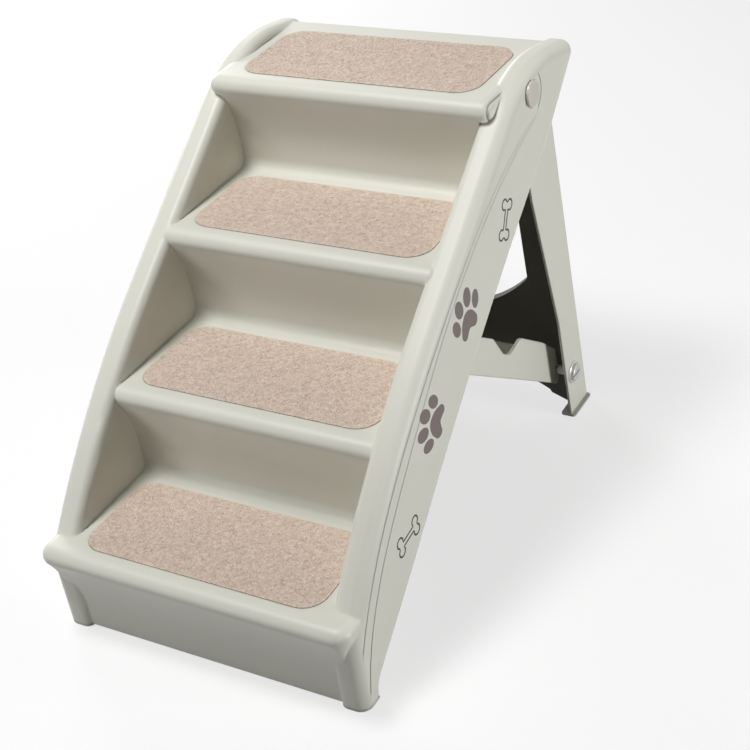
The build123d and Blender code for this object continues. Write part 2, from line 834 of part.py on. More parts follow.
def brace_side_face():
    """The side of the brace: finger notch, crown and a rear edge along the panel"""
    end_radius = brace_low - brace_pivot_drop
    notch_low = brace_front_top - notch_depth
    rear_top = (brace_rear(brace_rear_top), brace_rear_top)
    rear_low = (brace_rear(-brace_low), -brace_low)
    crown_end = (brace_crown_along / 2, brace_crown - brace_crown_fall)
    notch = [
        (notch_end_along, brace_front_top),
        (notch_end_along - notch_front_slant, notch_low),
        (notch_start_along + notch_rear_slant, notch_low),
        (notch_start_along, brace_crown),
    ]
    face = brace_outline(
        rear_low, (brace_pivot_along, -brace_low), (brace_pivot_along, end_radius - brace_pivot_drop),
        (brace_taper_along, brace_front_top), *notch, crown_end, rear_top)
    for place in notch:
        face = fillet(face.vertices().sort_by_distance(brace_point(*place))[0], notch_round)
    face = fillet(face.vertices().sort_by_distance(brace_point(*crown_end))[0], 2 * brace_crown_along)
    for place in (rear_top, rear_low):
        face = fillet(face.vertices().sort_by_distance(brace_point(*place))[0], brace_rear_round)
    return face + Pos(*pivot_point) * Circle(end_radius)


def support_brace():
    """The tray-shaped brace between the steps and the leg"""
    side = brace_width / 2
    right = slab(brace_side_face(), side - brace_wall, side)
    right -= disc(*pivot_point, rod_radius + running_fit, side - 2 * brace_wall, side + overrun)
    right -= disc(*stud_point, snap_hole_radius, side - 2 * brace_wall, side + overrun)
    floor = brace_outline(
        (brace_floor_start, -brace_low), (brace_floor_end, -brace_low),
        (brace_floor_end, brace_wall - brace_low), (brace_floor_start, brace_wall - brace_low))
    cross_walls = [
        brace_outline(
            (along, -brace_low), (along + brace_wall, -brace_low), (along + brace_wall, top), (along, top))
        for along, top in (
            (brace_floor_start, brace_rear_top - rib_drop),
            (rib_along, brace_crown - rib_drop),
            (brace_floor_end - brace_wall, brace_front_top - 2 * rib_drop),
        )
    ]
    middle = slab(floor + cross_walls, brace_wall - side, side - brace_wall)
    return middle + right + mirror(right, about=Plane.YZ)


def brace_rod():
    """The rod through the lugs of the flight that the brace swings on"""
    end = brace_width / 2 + rod_tail
    rod = disc(*pivot_point, rod_radius, -end, end)
    start = brace_width / 2 + rod_clip_gap
    groove_radius = rod_radius - rod_groove_depth
    for x in (start, -start - rod_clip_thickness):
        groove = disc(*pivot_point, rod_radius + overrun, x, x + rod_clip_thickness)
        rod -= groove - disc(*pivot_point, groove_radius, x - overrun, x + rod_clip_thickness + overrun)
    return rod


def rod_clip():
    """The clip in the groove at the right end of the rod"""
    start = brace_width / 2 + rod_clip_gap + running_fit
    end = start + rod_clip_thickness - 2 * running_fit
    ring = disc(*pivot_point, rod_clip_radius, start, end)
    ring -= disc(*pivot_point, rod_radius - rod_groove_depth + running_fit, start - overrun, end + overrun)
    y, z = pivot_point
    mouth_low = z - 2 * rod_clip_radius
    return ring - side_box(
        y - rod_radius / 2, y + rod_radius / 2, mouth_low, z, start - overrun, end + overrun)


def main():
    os.makedirs("parts", exist_ok=True)
    write(stair_body(), "stair_body")
    for step in range(step_count):
        write(mat_plate(step, mat_thickness, 0), f"tread_mat_{step + 1}")
    both_sides(front_foot, "front_foot")
    both_sides(rear_foot, "rear_foot")
    both_sides(hinge_pin, "hinge_pin")
    both_sides(hinge_cap, "hinge_cap")
    both_sides(hinge_bush, "hinge_bush")
    both_sides(hinge_washer, "hinge_washer")
    both_sides(hinge_nut, "hinge_nut")
    both_sides(leg_cheek, "leg_cheek")
    write(leg_panel(), "leg_panel")
    both_sides(panel_screws, "panel_screws")
    both_sides(leg_stud, "leg_stud")
    both_sides(stud_collar, "stud_collar")
    both_sides(stud_nut, "stud_nut")
    both_sides(stud_sleeve, "stud_sleeve")
    write(support_brace(), "support_brace")
    write(brace_rod(), "brace_rod")
    both_sides(rod_clip, "rod_clip")


main()
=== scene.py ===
from math import cos, pi, radians, sin

import bmesh
import bpy
from mathutils import Matrix, Vector
from mathutils.bvhtree import BVHTree


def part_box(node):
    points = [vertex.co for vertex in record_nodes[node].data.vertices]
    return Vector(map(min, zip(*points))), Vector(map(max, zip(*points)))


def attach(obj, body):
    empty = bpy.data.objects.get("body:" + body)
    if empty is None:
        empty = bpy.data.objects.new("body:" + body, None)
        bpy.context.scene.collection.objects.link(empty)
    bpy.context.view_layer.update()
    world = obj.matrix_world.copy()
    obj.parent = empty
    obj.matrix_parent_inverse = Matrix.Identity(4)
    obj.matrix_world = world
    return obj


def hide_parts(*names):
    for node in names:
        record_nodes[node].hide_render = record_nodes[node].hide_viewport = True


# The stair body: one hollow moulding with four treads, their noses and two side rails.
# It is injection-moulded polypropylene with a fine grain and soft, rounded corners,
# and every other piece hangs on it.
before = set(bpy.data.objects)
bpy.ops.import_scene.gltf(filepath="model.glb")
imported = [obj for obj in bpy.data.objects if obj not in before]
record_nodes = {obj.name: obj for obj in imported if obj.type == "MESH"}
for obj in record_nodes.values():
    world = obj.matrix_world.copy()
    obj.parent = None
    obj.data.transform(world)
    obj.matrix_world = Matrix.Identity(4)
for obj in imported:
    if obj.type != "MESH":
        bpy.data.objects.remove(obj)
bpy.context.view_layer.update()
mm = 0.001


def linear(code):
    """The linear colour of an sRGB hex value"""
    parts = [int(code[i:i + 2], 16) / 255 for i in (1, 3, 5)]
    return [c / 12.92 if c <= 0.04045 else ((c + 0.055) / 1.055) ** 2.4 for c in parts] + [1.0]


def add(tree, kind, links=None, **settings):
    """A node with its settings, and its inputs linked or set"""
    node = tree.nodes.new(kind)
    for name, value in settings.items():
        setattr(node, name, value)
    for socket, value in (links or {}).items():
        if isinstance(value, bpy.types.NodeSocket):
            tree.links.new(value, node.inputs[socket])
        else:
            node.inputs[socket].default_value = value
    return node


def new_finish(name):
    """An empty material and its node tree"""
    material = bpy.data.materials.new(name)
    material.use_nodes = True
    material.node_tree.nodes.clear()
    return material, material.node_tree


def dress(material, *names):
    """Give carried-over pieces their finish"""
    for name in names:
        for material_slot in record_nodes[name].material_slots:
            material_slot.material = material


shell_colour = "#E2E2D7"
shell_shade = "#D9D8CC"
shell_corner = 4.5 * mm
shell_cloud = 210 * mm
# The real grain is about 0.3 mm, too fine to show, so it is drawn at 1.4 mm
shell_grain = 1.4 * mm
grain_depth = 0.1 * mm
shell_roughness = (0.40, 0.52)
polypropylene_ior = 1.49

# Moulded polypropylene: a soft sheen, no clear reflections, corners that turn slowly
moulded_polypropylene, tree = new_finish("moulded_polypropylene_warm_grey")
place = add(tree, "ShaderNodeTexCoord").outputs["Object"]
cloud = add(tree, "ShaderNodeTexNoise", {"Vector": place, "Scale": 1 / shell_cloud, "Detail": 3})
tint = add(tree, "ShaderNodeMix", {
    "Factor": cloud.outputs["Fac"], 6: linear(shell_colour), 7: linear(shell_shade)},
    data_type="RGBA")
grain = add(tree, "ShaderNodeTexNoise", {"Vector": place, "Scale": 1 / shell_grain, "Detail": 2})
gloss = add(tree, "ShaderNodeMapRange", {
    "Value": grain.outputs["Fac"], "From Min": 0.3, "From Max": 0.7,
    "To Min": shell_roughness[0], "To Max": shell_roughness[1]})
corner = add(tree, "ShaderNodeBevel", {"Radius": shell_corner}, samples=8)
bump = add(tree, "ShaderNodeBump", {
    "Strength": 0.12, "Distance": grain_depth, "Height": grain.outputs["Fac"],
    "Normal": corner.outputs["Normal"]})
shader = add(tree, "ShaderNodeBsdfPrincipled", {
    "Base Color": tint.outputs[2], "Roughness": gloss.outputs["Result"], "IOR": polypropylene_ior,
    "Normal": bump.outputs["Normal"]})
add(tree, "ShaderNodeOutputMaterial", {"Surface": shader.outputs["BSDF"]})
dress(moulded_polypropylene, "stair_body")

# The prints on the sides: bones in outline and solid paws, pad-printed in grey-brown ink.
# The ink is a film on the side's flat band, drawn here as a skin a tenth of a millimetre thick,
# and the left side has the same prints.
ink_paw = "#6E625F"
ink_bone = "#3B3533"
ink_speckle = 1.5 * mm
ink_thinned = 1.25
film = 0.1 * mm
film_lift = 0.05 * mm
# Where each print's middle is, to the back and up in mm, and how far it is turned in degrees
paw_places = [((-0.6, 313.6), 14), ((-102.2, 237.1), 64)]
bone_places = [((111.3, 369.4), 65), ((-178.0, 142.2), 8)]
# A toe's middle, its two half lengths in mm and its lean in degrees, then half of the pad's line
toes = [(24.3, 0.0, 11.4, 7.5, 16), (10.2, 15.6, 12.1, 8.3, 10)]
pad_half = [(0, 1.7), (10.6, -3.4), (16.6, -12.6), (18.6, -22.6), (12.4, -28.4), (5.0, -24.4)]
pad_notch = (0, -22.0)
# How far a bone's lobes stand apart and out, their radius and the arc that each is drawn over,
# then the shaft's half width, the neck's step and the width of the printed line
bone_ends = 34.0
bone_lobe_reach = 6.4
bone_lobe = 7.2
bone_lobe_arc = (201, -55)
bone_shaft = 4.2
bone_neck = 1.2
bone_line = 2.3
# Steps in half a toe, in a bone's lobe and in a mat's corner, and then between two points of a
# printed line, and how near two corners of a mesh are one
segments = 12
line_steps = 6
weld_reach = 0.01 * mm


def pad_outline():
    """The closed line of the paw's pad, rounded at the top with two lobes below"""
    mirrored = [(-x, y) for x, y in reversed(pad_half[1:])]
    return pad_half + [pad_notch] + mirrored


def toe_outline(x, y, long_radius, short_radius, lean):
    """The closed line of one oval toe, leaning outwards"""
    turn = radians(-lean if x > 0 else lean)
    points = []
    for step in range(2 * segments):
        a = pi * step / segments
        u, v = short_radius * cos(a), long_radius * sin(a)
        points.append((x + u * cos(turn) - v * sin(turn), y + u * sin(turn) + v * cos(turn)))
    return points


def bone_outline(inset):
    """The closed line of a bone with two round lobes at each end"""
    radius = bone_lobe - inset
    shaft = bone_shaft - inset
    quarter = []
    centre = (bone_ends / 2, bone_lobe_reach)
    start, end = (radians(turn) for turn in bone_lobe_arc)
    for step in range(segments + 1):
        a = start + (end - start) * step / segments
        quarter.append((centre[0] + radius * cos(a), centre[1] + radius * sin(a)))
    quarter = [(x, y) for x, y in quarter if y >= 0]
    neck = quarter[0][0] - bone_neck
    quarter = [(neck / 3, shaft), (neck - bone_neck, shaft), (neck, shaft)] + quarter
    right = quarter + [(x, -y) for x, y in reversed(quarter)]
    left = [(-x, -y) for x, y in right]
    return right + left


def placed(name, data):
    """An object with this data, linked to the scene"""
    thing = bpy.data.objects.new(name, data)
    bpy.context.collection.objects.link(thing)
    return thing


def plain_mesh(name, holder):
    """What an object's curve or modifier gives, as a plain mesh; the object itself goes"""
    bpy.context.view_layer.update()
    depsgraph = bpy.context.evaluated_depsgraph_get()
    mesh = bpy.data.meshes.new_from_object(holder.evaluated_get(depsgraph))
    bpy.data.objects.remove(holder)
    mesh.name = name
    return mesh


body_mesh = record_nodes["stair_body"].data
body_skin = BVHTree.FromPolygons([vertex.co for vertex in body_mesh.vertices],
                                 [polygon.vertices for polygon in body_mesh.polygons])


def body_at(y, z):
    """How far from the middle the outside of the right side is at a place"""
    return body_skin.ray_cast(Vector((1, y * mm, z * mm)), Vector((-1, 0, 0)))[0].x


def printed(name, loops, place_of, turn, side):
    """A film of ink on one side of the stairs, cut from closed lines; a second loop is a hole"""
    curve = bpy.data.curves.new(name, "CURVE")
    curve.dimensions = "2D"
    curve.fill_mode = "BOTH"
    curve.extrude = film / 2
    curve.resolution_u = line_steps
    for loop in loops:
        spline = curve.splines.new("BEZIER")
        spline.bezier_points.add(len(loop) - 1)
        for point, (x, y) in zip(spline.bezier_points, loop):
            point.co = (x * mm, y * mm, 0)
            point.handle_left_type = point.handle_right_type = "AUTO"
        spline.use_cyclic_u = True
    mesh = plain_mesh(name, placed(name + "_line", curve))
    y, z = place_of
    surface = side * (body_at(y, z) + film_lift)
    # The line is drawn with X to the back and Y up, and then stands on the side
    stand = Matrix(((0, 0, side, surface), (1, 0, 0, y * mm), (0, 1, 0, z * mm), (0, 0, 0, 1)))
    mesh.transform(stand @ Matrix.Rotation(radians(turn), 4, "Z"))
    if side < 0:
        mesh.flip_normals()
    return mesh


def joined(name, meshes, material, carrier):
    """One piece made of several meshes, riding on a body"""
    whole = bmesh.new()
    for mesh in meshes:
        whole.from_mesh(mesh)
    bmesh.ops.remove_doubles(whole, verts=whole.verts, dist=weld_reach)
    bmesh.ops.recalc_face_normals(whole, faces=whole.faces)
    data = bpy.data.meshes.new(name)
    whole.to_mesh(data)
    whole.free()
    data.materials.append(material)
    piece = placed(name, data)
    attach(piece, carrier)
    return piece


# Pad-print ink: matt, a little uneven where the pad lifted off
inks = {}
for name, code in (("pad_print_ink_brown", ink_paw), ("pad_print_ink_dark", ink_bone)):
    ink, tree = new_finish(name)
    place = add(tree, "ShaderNodeTexCoord").outputs["Object"]
    speckle = add(tree, "ShaderNodeTexNoise", {
        "Vector": place, "Scale": 1 / ink_speckle, "Detail": 3})
    thin_ink = [min(1, ink_thinned * c) for c in linear(code)]
    tint = add(tree, "ShaderNodeMix", {
        "Factor": speckle.outputs["Fac"], 6: linear(code), 7: thin_ink}, data_type="RGBA")
    shader = add(tree, "ShaderNodeBsdfPrincipled", {
        "Base Color": tint.outputs[2], "Roughness": 0.6})
    add(tree, "ShaderNodeOutputMaterial", {"Surface": shader.outputs["BSDF"]})
    inks[name] = ink

for side, side_name in ((1, "right"), (-1, "left")):
    for number, (spot, turn) in enumerate(paw_places, 1):
        loops = [pad_outline()]
        for x, *oval in toes:
            loops += [toe_outline(x, *oval), toe_outline(-x, *oval)]
        meshes = [printed("paw", [loop], spot, turn, side) for loop in loops]
        joined(f"printed_paw_{number}_{side_name}", meshes, inks["pad_print_ink_brown"],
               "stairs")
    for number, (spot, turn) in enumerate(bone_places, 1):
        loops = [bone_outline(0), bone_outline(bone_line)]
        meshes = [printed("bone", loops, spot, turn, side)]
        joined(f"printed_bone_{number}_{side_name}", meshes, inks["pad_print_ink_dark"],
               "stairs")

# The tread mats: four cut pieces of needle felt, 313 by 127 mm with round corners.
# Each is laid in a shallow recess of its tread and glued there. Its cut edge is painted dark,
# as the shade along the mat's edge, and loose fibres lie on its face.
mat_count = 4
mat_length, mat_depth, mat_corner = 313 * mm, 127 * mm, 27 * mm
mat_roll = 0.5 * mm
roll_steps = 3
felt_colours = ("#A8917F", "#D8C4B4", "#F8ECE1")
# Painted shade: a dark brown that paints the shade along the mat's cut edge; the hidden underside
# takes it too
edge_shade_colour = "#5B5048"
# The fibres are about 0.05 mm thick, so their clumps are what is drawn
felt_clump = 1.1 * mm
felt_mottle = 5 * mm
felt_mottle_share = 0.35
felt_shade_range = (0.4, 0.95)


def mat_ring(inset, z):
    """The points of a rounded oblong, drawn in from the mat's edge"""
    radius = mat_corner - inset
    points = []
    for quarter, (sx, sy) in enumerate(((1, 1), (-1, 1), (-1, -1), (1, -1))):
        cx, cy = sx * (mat_length / 2 - mat_corner), sy * (mat_depth / 2 - mat_corner)
        for step in range(segments + 1):
            a = pi / 2 * (quarter + step / segments)
            points.append((cx + radius * cos(a), cy + radius * sin(a), z))
    return points


def felt_mat(name, node_name):
    """A closed sheet of felt in the place of its node, with a rolled upper edge"""
    low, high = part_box(node_name)
    middle_x, middle_y = (low[0] + high[0]) / 2, (low[1] + high[1]) / 2
    rings = [mat_ring(0, low[2]), mat_ring(0, high[2] - mat_roll)]
    for step in range(1, roll_steps + 1):
        a = pi / 2 * step / roll_steps
        rings.append(mat_ring(mat_roll * (1 - cos(a)), high[2] - mat_roll * (1 - sin(a))))
    vertices = [(x + middle_x, y + middle_y, z) for ring in rings for x, y, z in ring]
    count = len(rings[0])
    faces = [tuple(reversed(range(count)))]
    for row in range(len(rings) - 1):
        for i in range(count):
            j = (i + 1) % count
            below, above = row * count, (row + 1) * count
            faces.append((below + i, below + j, above + j, above + i))
    faces.append(tuple(range((len(rings) - 1) * count, len(rings) * count)))
    data = bpy.data.meshes.new(name)
    data.from_pydata(vertices, [], faces)
    data.materials.append(needle_felt)
    data.materials.append(edge_shade_finish)
    # The underside and the first ring, the cut edge, take the painted edge shade
    for index, polygon in enumerate(data.polygons):
        polygon.material_index = 1 if index <= count else 0
        polygon.use_smooth = 0 < index < len(faces) - 1
    return placed(name, data)


# Needle felt: no gloss, a soft sheen from loose fibres, pale and dark fibres mixed
needle_felt, tree = new_finish("needle_felt_beige")
place = add(tree, "ShaderNodeTexCoord").outputs["Object"]
clump = add(tree, "ShaderNodeTexNoise", {
    "Vector": place, "Scale": 1 / felt_clump, "Detail": 3, "Roughness": 0.6})
mottle = add(tree, "ShaderNodeTexNoise", {"Vector": place, "Scale": 1 / felt_mottle, "Detail": 2})
patch = add(tree, "ShaderNodeMath", {
    0: mottle.outputs["Fac"], 1: felt_mottle_share}, operation="MULTIPLY")
mixed = add(tree, "ShaderNodeMath", {
    0: clump.outputs["Fac"], 1: patch.outputs[0]}, operation="ADD")
shade = add(tree, "ShaderNodeMapRange", {
    "Value": mixed.outputs[0],
    "From Min": felt_shade_range[0], "From Max": felt_shade_range[1]})
tone = add(tree, "ShaderNodeValToRGB", {"Fac": shade.outputs["Result"]})
tone.color_ramp.elements[0].color = linear(felt_colours[0])
tone.color_ramp.elements[1].color = linear(felt_colours[2])
tone.color_ramp.elements.new(0.5).color = linear(felt_colours[1])
bump = add(tree, "ShaderNodeBump", {
    "Strength": 0.18, "Distance": 0.3 * mm, "Height": clump.outputs["Fac"]})
shader = add(tree, "ShaderNodeBsdfPrincipled", {
    "Base Color": tone.outputs["Color"], "Roughness": 0.95, "Specular IOR Level": 0.2,
    "Sheen Weight": 0.25, "Sheen Roughness": 0.5, "Normal": bump.outputs["Normal"]})
add(tree, "ShaderNodeOutputMaterial", {"Surface": shader.outputs["BSDF"]})

# Painted edge shade: a dull dark brown, crumbly with the felt's colour, standing in for shade
# along the cut edge
edge_shade_finish, tree = new_finish("felt_edge_painted_shade")
place = add(tree, "ShaderNodeTexCoord").outputs["Object"]
crumb = add(tree, "ShaderNodeTexNoise", {"Vector": place, "Scale": 1 / felt_clump, "Detail": 3})
tint = add(tree, "ShaderNodeMix", {
    "Factor": crumb.outputs["Fac"], 6: linear(edge_shade_colour), 7: linear(felt_colours[0])},
    data_type="RGBA")
shader = add(tree, "ShaderNodeBsdfPrincipled", {"Base Color": tint.outputs[2], "Roughness": 0.9})
add(tree, "ShaderNodeOutputMaterial", {"Surface": shader.outputs["BSDF"]})

# The loose fibres lie a little over the mat's face, away from its edge. Real ones are thinner
# and much denser, so they are drawn coarse and sparse enough to show. Each rolls and pitches by
# up to so many radians, and turns any way.
fibre_length = 2.6 * mm
fibre_radius = 0.07 * mm
fibre_lift = 0.1 * mm
fibre_sag = 0.5 * mm
fibres_per_area = 0.16 / mm ** 2
fibre_band = 3 * mm
fibre_roll, fibre_pitch = 0.5, 0.2
fibre_bends = 3
fibre_sides = 3
fibre_colours = ("#A08877", "#EFE4DA")
fibre_streak = 3 * mm
fibre_streak_range = (0.42, 0.58)


def nap_tree():
    """Loose fibres strewn over a face: short bent strands that lie in every direction"""
    group = bpy.data.node_groups.new("felt_nap", "GeometryNodeTree")
    group.interface.new_socket("Felt", in_out="INPUT", socket_type="NodeSocketGeometry")
    for name, kind in (
            ("Fibre length", "NodeSocketFloat"), ("Fibre radius", "NodeSocketFloat"),
            ("Fibre sag", "NodeSocketFloat"), ("Density", "NodeSocketFloat"),
            ("Seed", "NodeSocketInt")):
        group.interface.new_socket(name, in_out="INPUT", socket_type=kind)
    group.interface.new_socket("Nap", in_out="OUTPUT", socket_type="NodeSocketGeometry")
    given = add(group, "NodeGroupInput").outputs
    half = add(group, "ShaderNodeMath", {0: given["Fibre length"], 1: 0.5}, operation="MULTIPLY")
    other_half = add(group, "ShaderNodeMath", {0: half.outputs[0], 1: -1.0}, operation="MULTIPLY")
    low_end = add(group, "ShaderNodeCombineXYZ", {"X": other_half.outputs[0]})
    high_end = add(group, "ShaderNodeCombineXYZ", {"X": half.outputs[0]})
    crown = add(group, "ShaderNodeCombineXYZ", {
        "Z": given["Fibre sag"], "Y": given["Fibre sag"]})
    strand = add(group, "GeometryNodeCurveQuadraticBezier", {
        "Resolution": fibre_bends, "Start": low_end.outputs[0], "Middle": crown.outputs[0],
        "End": high_end.outputs[0]})
    section = add(group, "GeometryNodeCurvePrimitiveCircle", {
        "Resolution": fibre_sides, "Radius": given["Fibre radius"]})
    fibre = add(group, "GeometryNodeCurveToMesh", {
        "Curve": strand.outputs[0], "Profile Curve": section.outputs[0], "Fill Caps": True})
    spots = add(group, "GeometryNodeDistributePointsOnFaces", {
        "Mesh": given["Felt"], "Density": given["Density"], "Seed": given["Seed"]})
    turn = add(group, "FunctionNodeRandomValue", {
        0: (-fibre_roll, -fibre_pitch, 0), 1: (fibre_roll, fibre_pitch, 2 * pi),
        "Seed": given["Seed"]}, data_type="FLOAT_VECTOR")
    strewn = add(group, "GeometryNodeInstanceOnPoints", {
        "Points": spots.outputs["Points"], "Instance": fibre.outputs[0],
        "Rotation": turn.outputs[0]})
    whole = add(group, "GeometryNodeRealizeInstances", {0: strewn.outputs[0]})
    finished = add(group, "GeometryNodeSetMaterial", {
        "Geometry": whole.outputs[0], "Material": felt_fibre})
    add(group, "NodeGroupOutput", {"Nap": finished.outputs[0]})
    return group


def felt_nap(name, node_name, seed):
    """The loose fibres on one mat, baked to a plain mesh"""
    low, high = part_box(node_name)
    middle_x, middle_y = (low[0] + high[0]) / 2, (low[1] + high[1]) / 2
    edge = mat_ring(fibre_band, high[2] + fibre_lift)
    data = bpy.data.meshes.new(name + "_face")
    data.from_pydata([(x + middle_x, y + middle_y, z) for x, y, z in edge], [],
                     [tuple(range(len(edge)))])
    holder = placed(name + "_face", data)
    strewing = holder.modifiers.new("nap", "NODES")
    strewing.node_group = nap
    sizes = {"Fibre length": fibre_length, "Fibre radius": fibre_radius,
             "Fibre sag": fibre_sag, "Density": fibres_per_area, "Seed": seed}
    for socket in nap.interface.items_tree:
        if socket.in_out == "INPUT" and socket.name in sizes:
            strewing[socket.identifier] = sizes[socket.name]
    piece = placed(name, plain_mesh(name, holder))
    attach(piece, "stairs")
    return piece


# Loose polyester fibres: pale and dark ones mixed, with a faint gloss
felt_fibre, tree = new_finish("loose_polyester_fibre")
place = add(tree, "ShaderNodeTexCoord").outputs["Object"]
streak = add(tree, "ShaderNodeTexNoise", {"Vector": place, "Scale": 1 / fibre_streak, "Detail": 1})
tone = add(tree, "ShaderNodeValToRGB", {"Fac": streak.outputs["Fac"]})
for stop, place_on_ramp, code in zip(tone.color_ramp.elements, fibre_streak_range, fibre_colours):
    stop.position = place_on_ramp
    stop.color = linear(code)
shader = add(tree, "ShaderNodeBsdfPrincipled", {
    "Base Color": tone.outputs["Color"], "Roughness": 0.7})
add(tree, "ShaderNodeOutputMaterial", {"Surface": shader.outputs["BSDF"]})

nap = nap_tree()
for number in range(1, mat_count + 1):
    node_name = f"tread_mat_{number}"
    mat = felt_mat(f"felt_mat_{number}", node_name)
    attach(mat, "stairs")
    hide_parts(node_name)
    felt_nap(f"felt_nap_{number}", node_name, number)

# The rear leg: two flat cheeks of the shell's plastic, screwed to a dark panel between them.
# The panel is a dark grey polypropylene, moulded with the same fine grain.
panel_colour = "#5A564F"
panel_light = "#646058"


def both(*names):
    """The names of the left and right pieces"""
    return [name + side for name in names for side in ("_left", "_right")]


dress(moulded_polypropylene, *both("leg_cheek"))

# Polypropylene filled with dark pigment: duller than the shell, with hardly a highlight
dark_polypropylene, tree = new_finish("moulded_polypropylene_black")
place = add(tree, "ShaderNodeTexCoord").outputs["Object"]
cloud = add(tree, "ShaderNodeTexNoise", {"Vector": place, "Scale": 1 / shell_cloud, "Detail": 3})
tint = add(tree, "ShaderNodeMix", {
    "Factor": cloud.outputs["Fac"], 6: linear(panel_colour), 7: linear(panel_light)},
    data_type="RGBA")
grain = add(tree, "ShaderNodeTexNoise", {"Vector": place, "Scale": 1 / shell_grain, "Detail": 2})
bump = add(tree, "ShaderNodeBump", {
    "Strength": 0.2, "Distance": grain_depth, "Height": grain.outputs["Fac"]})
shader = add(tree, "ShaderNodeBsdfPrincipled", {
    "Base Color": tint.outputs[2], "Roughness": 0.66, "IOR": polypropylene_ior,
    "Specular IOR Level": 0.3, "Normal": bump.outputs["Normal"]})
add(tree, "ShaderNodeOutputMaterial", {"Surface": shader.outputs["BSDF"]})
dress(dark_polypropylene, "leg_panel")

# The brace: a shallow tray of the shell's plastic with a finger notch in each wall.
# It swings on a steel rod under the second step and snaps over the studs of the leg.
dress(moulded_polypropylene, "support_brace")

# The metal pieces: the hinge pins with their washers and nuts, the studs with their rings, the
# screws, and the brace's rod with its clips. They are turned and pressed steel.
zinc_colour = "#CFCFCC"
zinc_dull = "#B4B4B0"
zinc_cloud = 9 * mm
zinc_line = 0.6 * mm
zinc_roughness = (0.2, 0.38)
zinc_edge = 0.4 * mm

# Bright zinc plating: cloudy light and dull grey, fine lines from the tool, broken edges
zinc_plated_steel, tree = new_finish("zinc_plated_turned_steel")
place = add(tree, "ShaderNodeTexCoord").outputs["Object"]
cloud = add(tree, "ShaderNodeTexNoise", {"Vector": place, "Scale": 1 / zinc_cloud, "Detail": 3})
tint = add(tree, "ShaderNodeMix", {
    "Factor": cloud.outputs["Fac"], 6: linear(zinc_colour), 7: linear(zinc_dull)},
    data_type="RGBA")
turned = add(tree, "ShaderNodeTexNoise", {"Vector": place, "Scale": 1 / zinc_line, "Detail": 2})
gloss = add(tree, "ShaderNodeMapRange", {
    "Value": turned.outputs["Fac"], "To Min": zinc_roughness[0], "To Max": zinc_roughness[1]})
edge = add(tree, "ShaderNodeBevel", {"Radius": zinc_edge}, samples=4)
shader = add(tree, "ShaderNodeBsdfPrincipled", {
    "Base Color": tint.outputs[2], "Metallic": 1.0, "Roughness": gloss.outputs["Result"],
    "Normal": edge.outputs["Normal"]})
add(tree, "ShaderNodeOutputMaterial", {"Surface": shader.outputs["BSDF"]})
dress(zinc_plated_steel, "brace_rod", *both(
    "hinge_pin", "hinge_washer", "hinge_nut", "panel_screws", "leg_stud", "stud_collar",
    "stud_nut", "rod_clip"))

# The hinge caps: a round cover pressed over the head of each hinge pin.
# They are moulded of a slightly warmer plastic than the shell.
cap_colour = "#D4CCC3"
cap_shade = "#CAC2B8"
cap_cloud = 20 * mm
cap_edge = 1.0 * mm

# Moulded ABS: smoother than the shell, with clear highlights on a rounded edge
moulded_abs, tree = new_finish("moulded_abs_warm_grey")
place = add(tree, "ShaderNodeTexCoord").outputs["Object"]
cloud = add(tree, "ShaderNodeTexNoise", {"Vector": place, "Scale": 1 / cap_cloud, "Detail": 3})
tint = add(tree, "ShaderNodeMix", {
    "Factor": cloud.outputs["Fac"], 6: linear(cap_colour), 7: linear(cap_shade)},
    data_type="RGBA")
edge = add(tree, "ShaderNodeBevel", {"Radius": cap_edge}, samples=4)
shader = add(tree, "ShaderNodeBsdfPrincipled", {
    "Base Color": tint.outputs[2], "Roughness": 0.32, "IOR": 1.53,
    "Normal": edge.outputs["Normal"]})
add(tree, "ShaderNodeOutputMaterial", {"Surface": shader.outputs["BSDF"]})
dress(moulded_abs, *both("hinge_cap"))

# The hinge bushes and the sleeves over the studs: turned nylon rings that hardly show.
# The hinge pins turn in the bushes, and a sleeve covers each stud from its nut to the brace.
nylon_colour = "#E9E6DC"
nylon_cloud = 12 * mm

# Natural nylon: milky, with a waxy gloss
natural_nylon, tree = new_finish("natural_nylon")
place = add(tree, "ShaderNodeTexCoord").outputs["Object"]
cloud = add(tree, "ShaderNodeTexNoise", {"Vector": place, "Scale": 1 / nylon_cloud, "Detail": 2})
tint = add(tree, "ShaderNodeMix", {
    "Factor": cloud.outputs["Fac"], 6: linear(nylon_colour), 7: linear(shell_shade)},
    data_type="RGBA")
shader = add(tree, "ShaderNodeBsdfPrincipled", {
    "Base Color": tint.outputs[2], "Roughness": 0.4, "IOR": 1.53})
add(tree, "ShaderNodeOutputMaterial", {"Surface": shader.outputs["BSDF"]})
dress(natural_nylon, *both("hinge_bush", "stud_sleeve"))

# The feet: pads with a plug in the hollow of each side, and shoes under the leg's cheeks.
# They are moulded of a soft elastomer, so that the stairs don't slide.
rubber_colour = "#BDBCB6"
rubber_bloom = "#CCCBC6"
rubber_cloud = 6 * mm

# Elastomer: light grey and matt, with a faint bloom
moulded_rubber, tree = new_finish("moulded_elastomer_light_grey")
place = add(tree, "ShaderNodeTexCoord").outputs["Object"]
bloom = add(tree, "ShaderNodeTexNoise", {"Vector": place, "Scale": 1 / rubber_cloud, "Detail": 4})
tint = add(tree, "ShaderNodeMix", {
    "Factor": bloom.outputs["Fac"], 6: linear(rubber_colour), 7: linear(rubber_bloom)},
    data_type="RGBA")
shader = add(tree, "ShaderNodeBsdfPrincipled", {
    "Base Color": tint.outputs[2], "Roughness": 0.8, "IOR": 1.5})
add(tree, "ShaderNodeOutputMaterial", {"Surface": shader.outputs["BSDF"]})
dress(moulded_rubber, *both("front_foot", "rear_foot"))

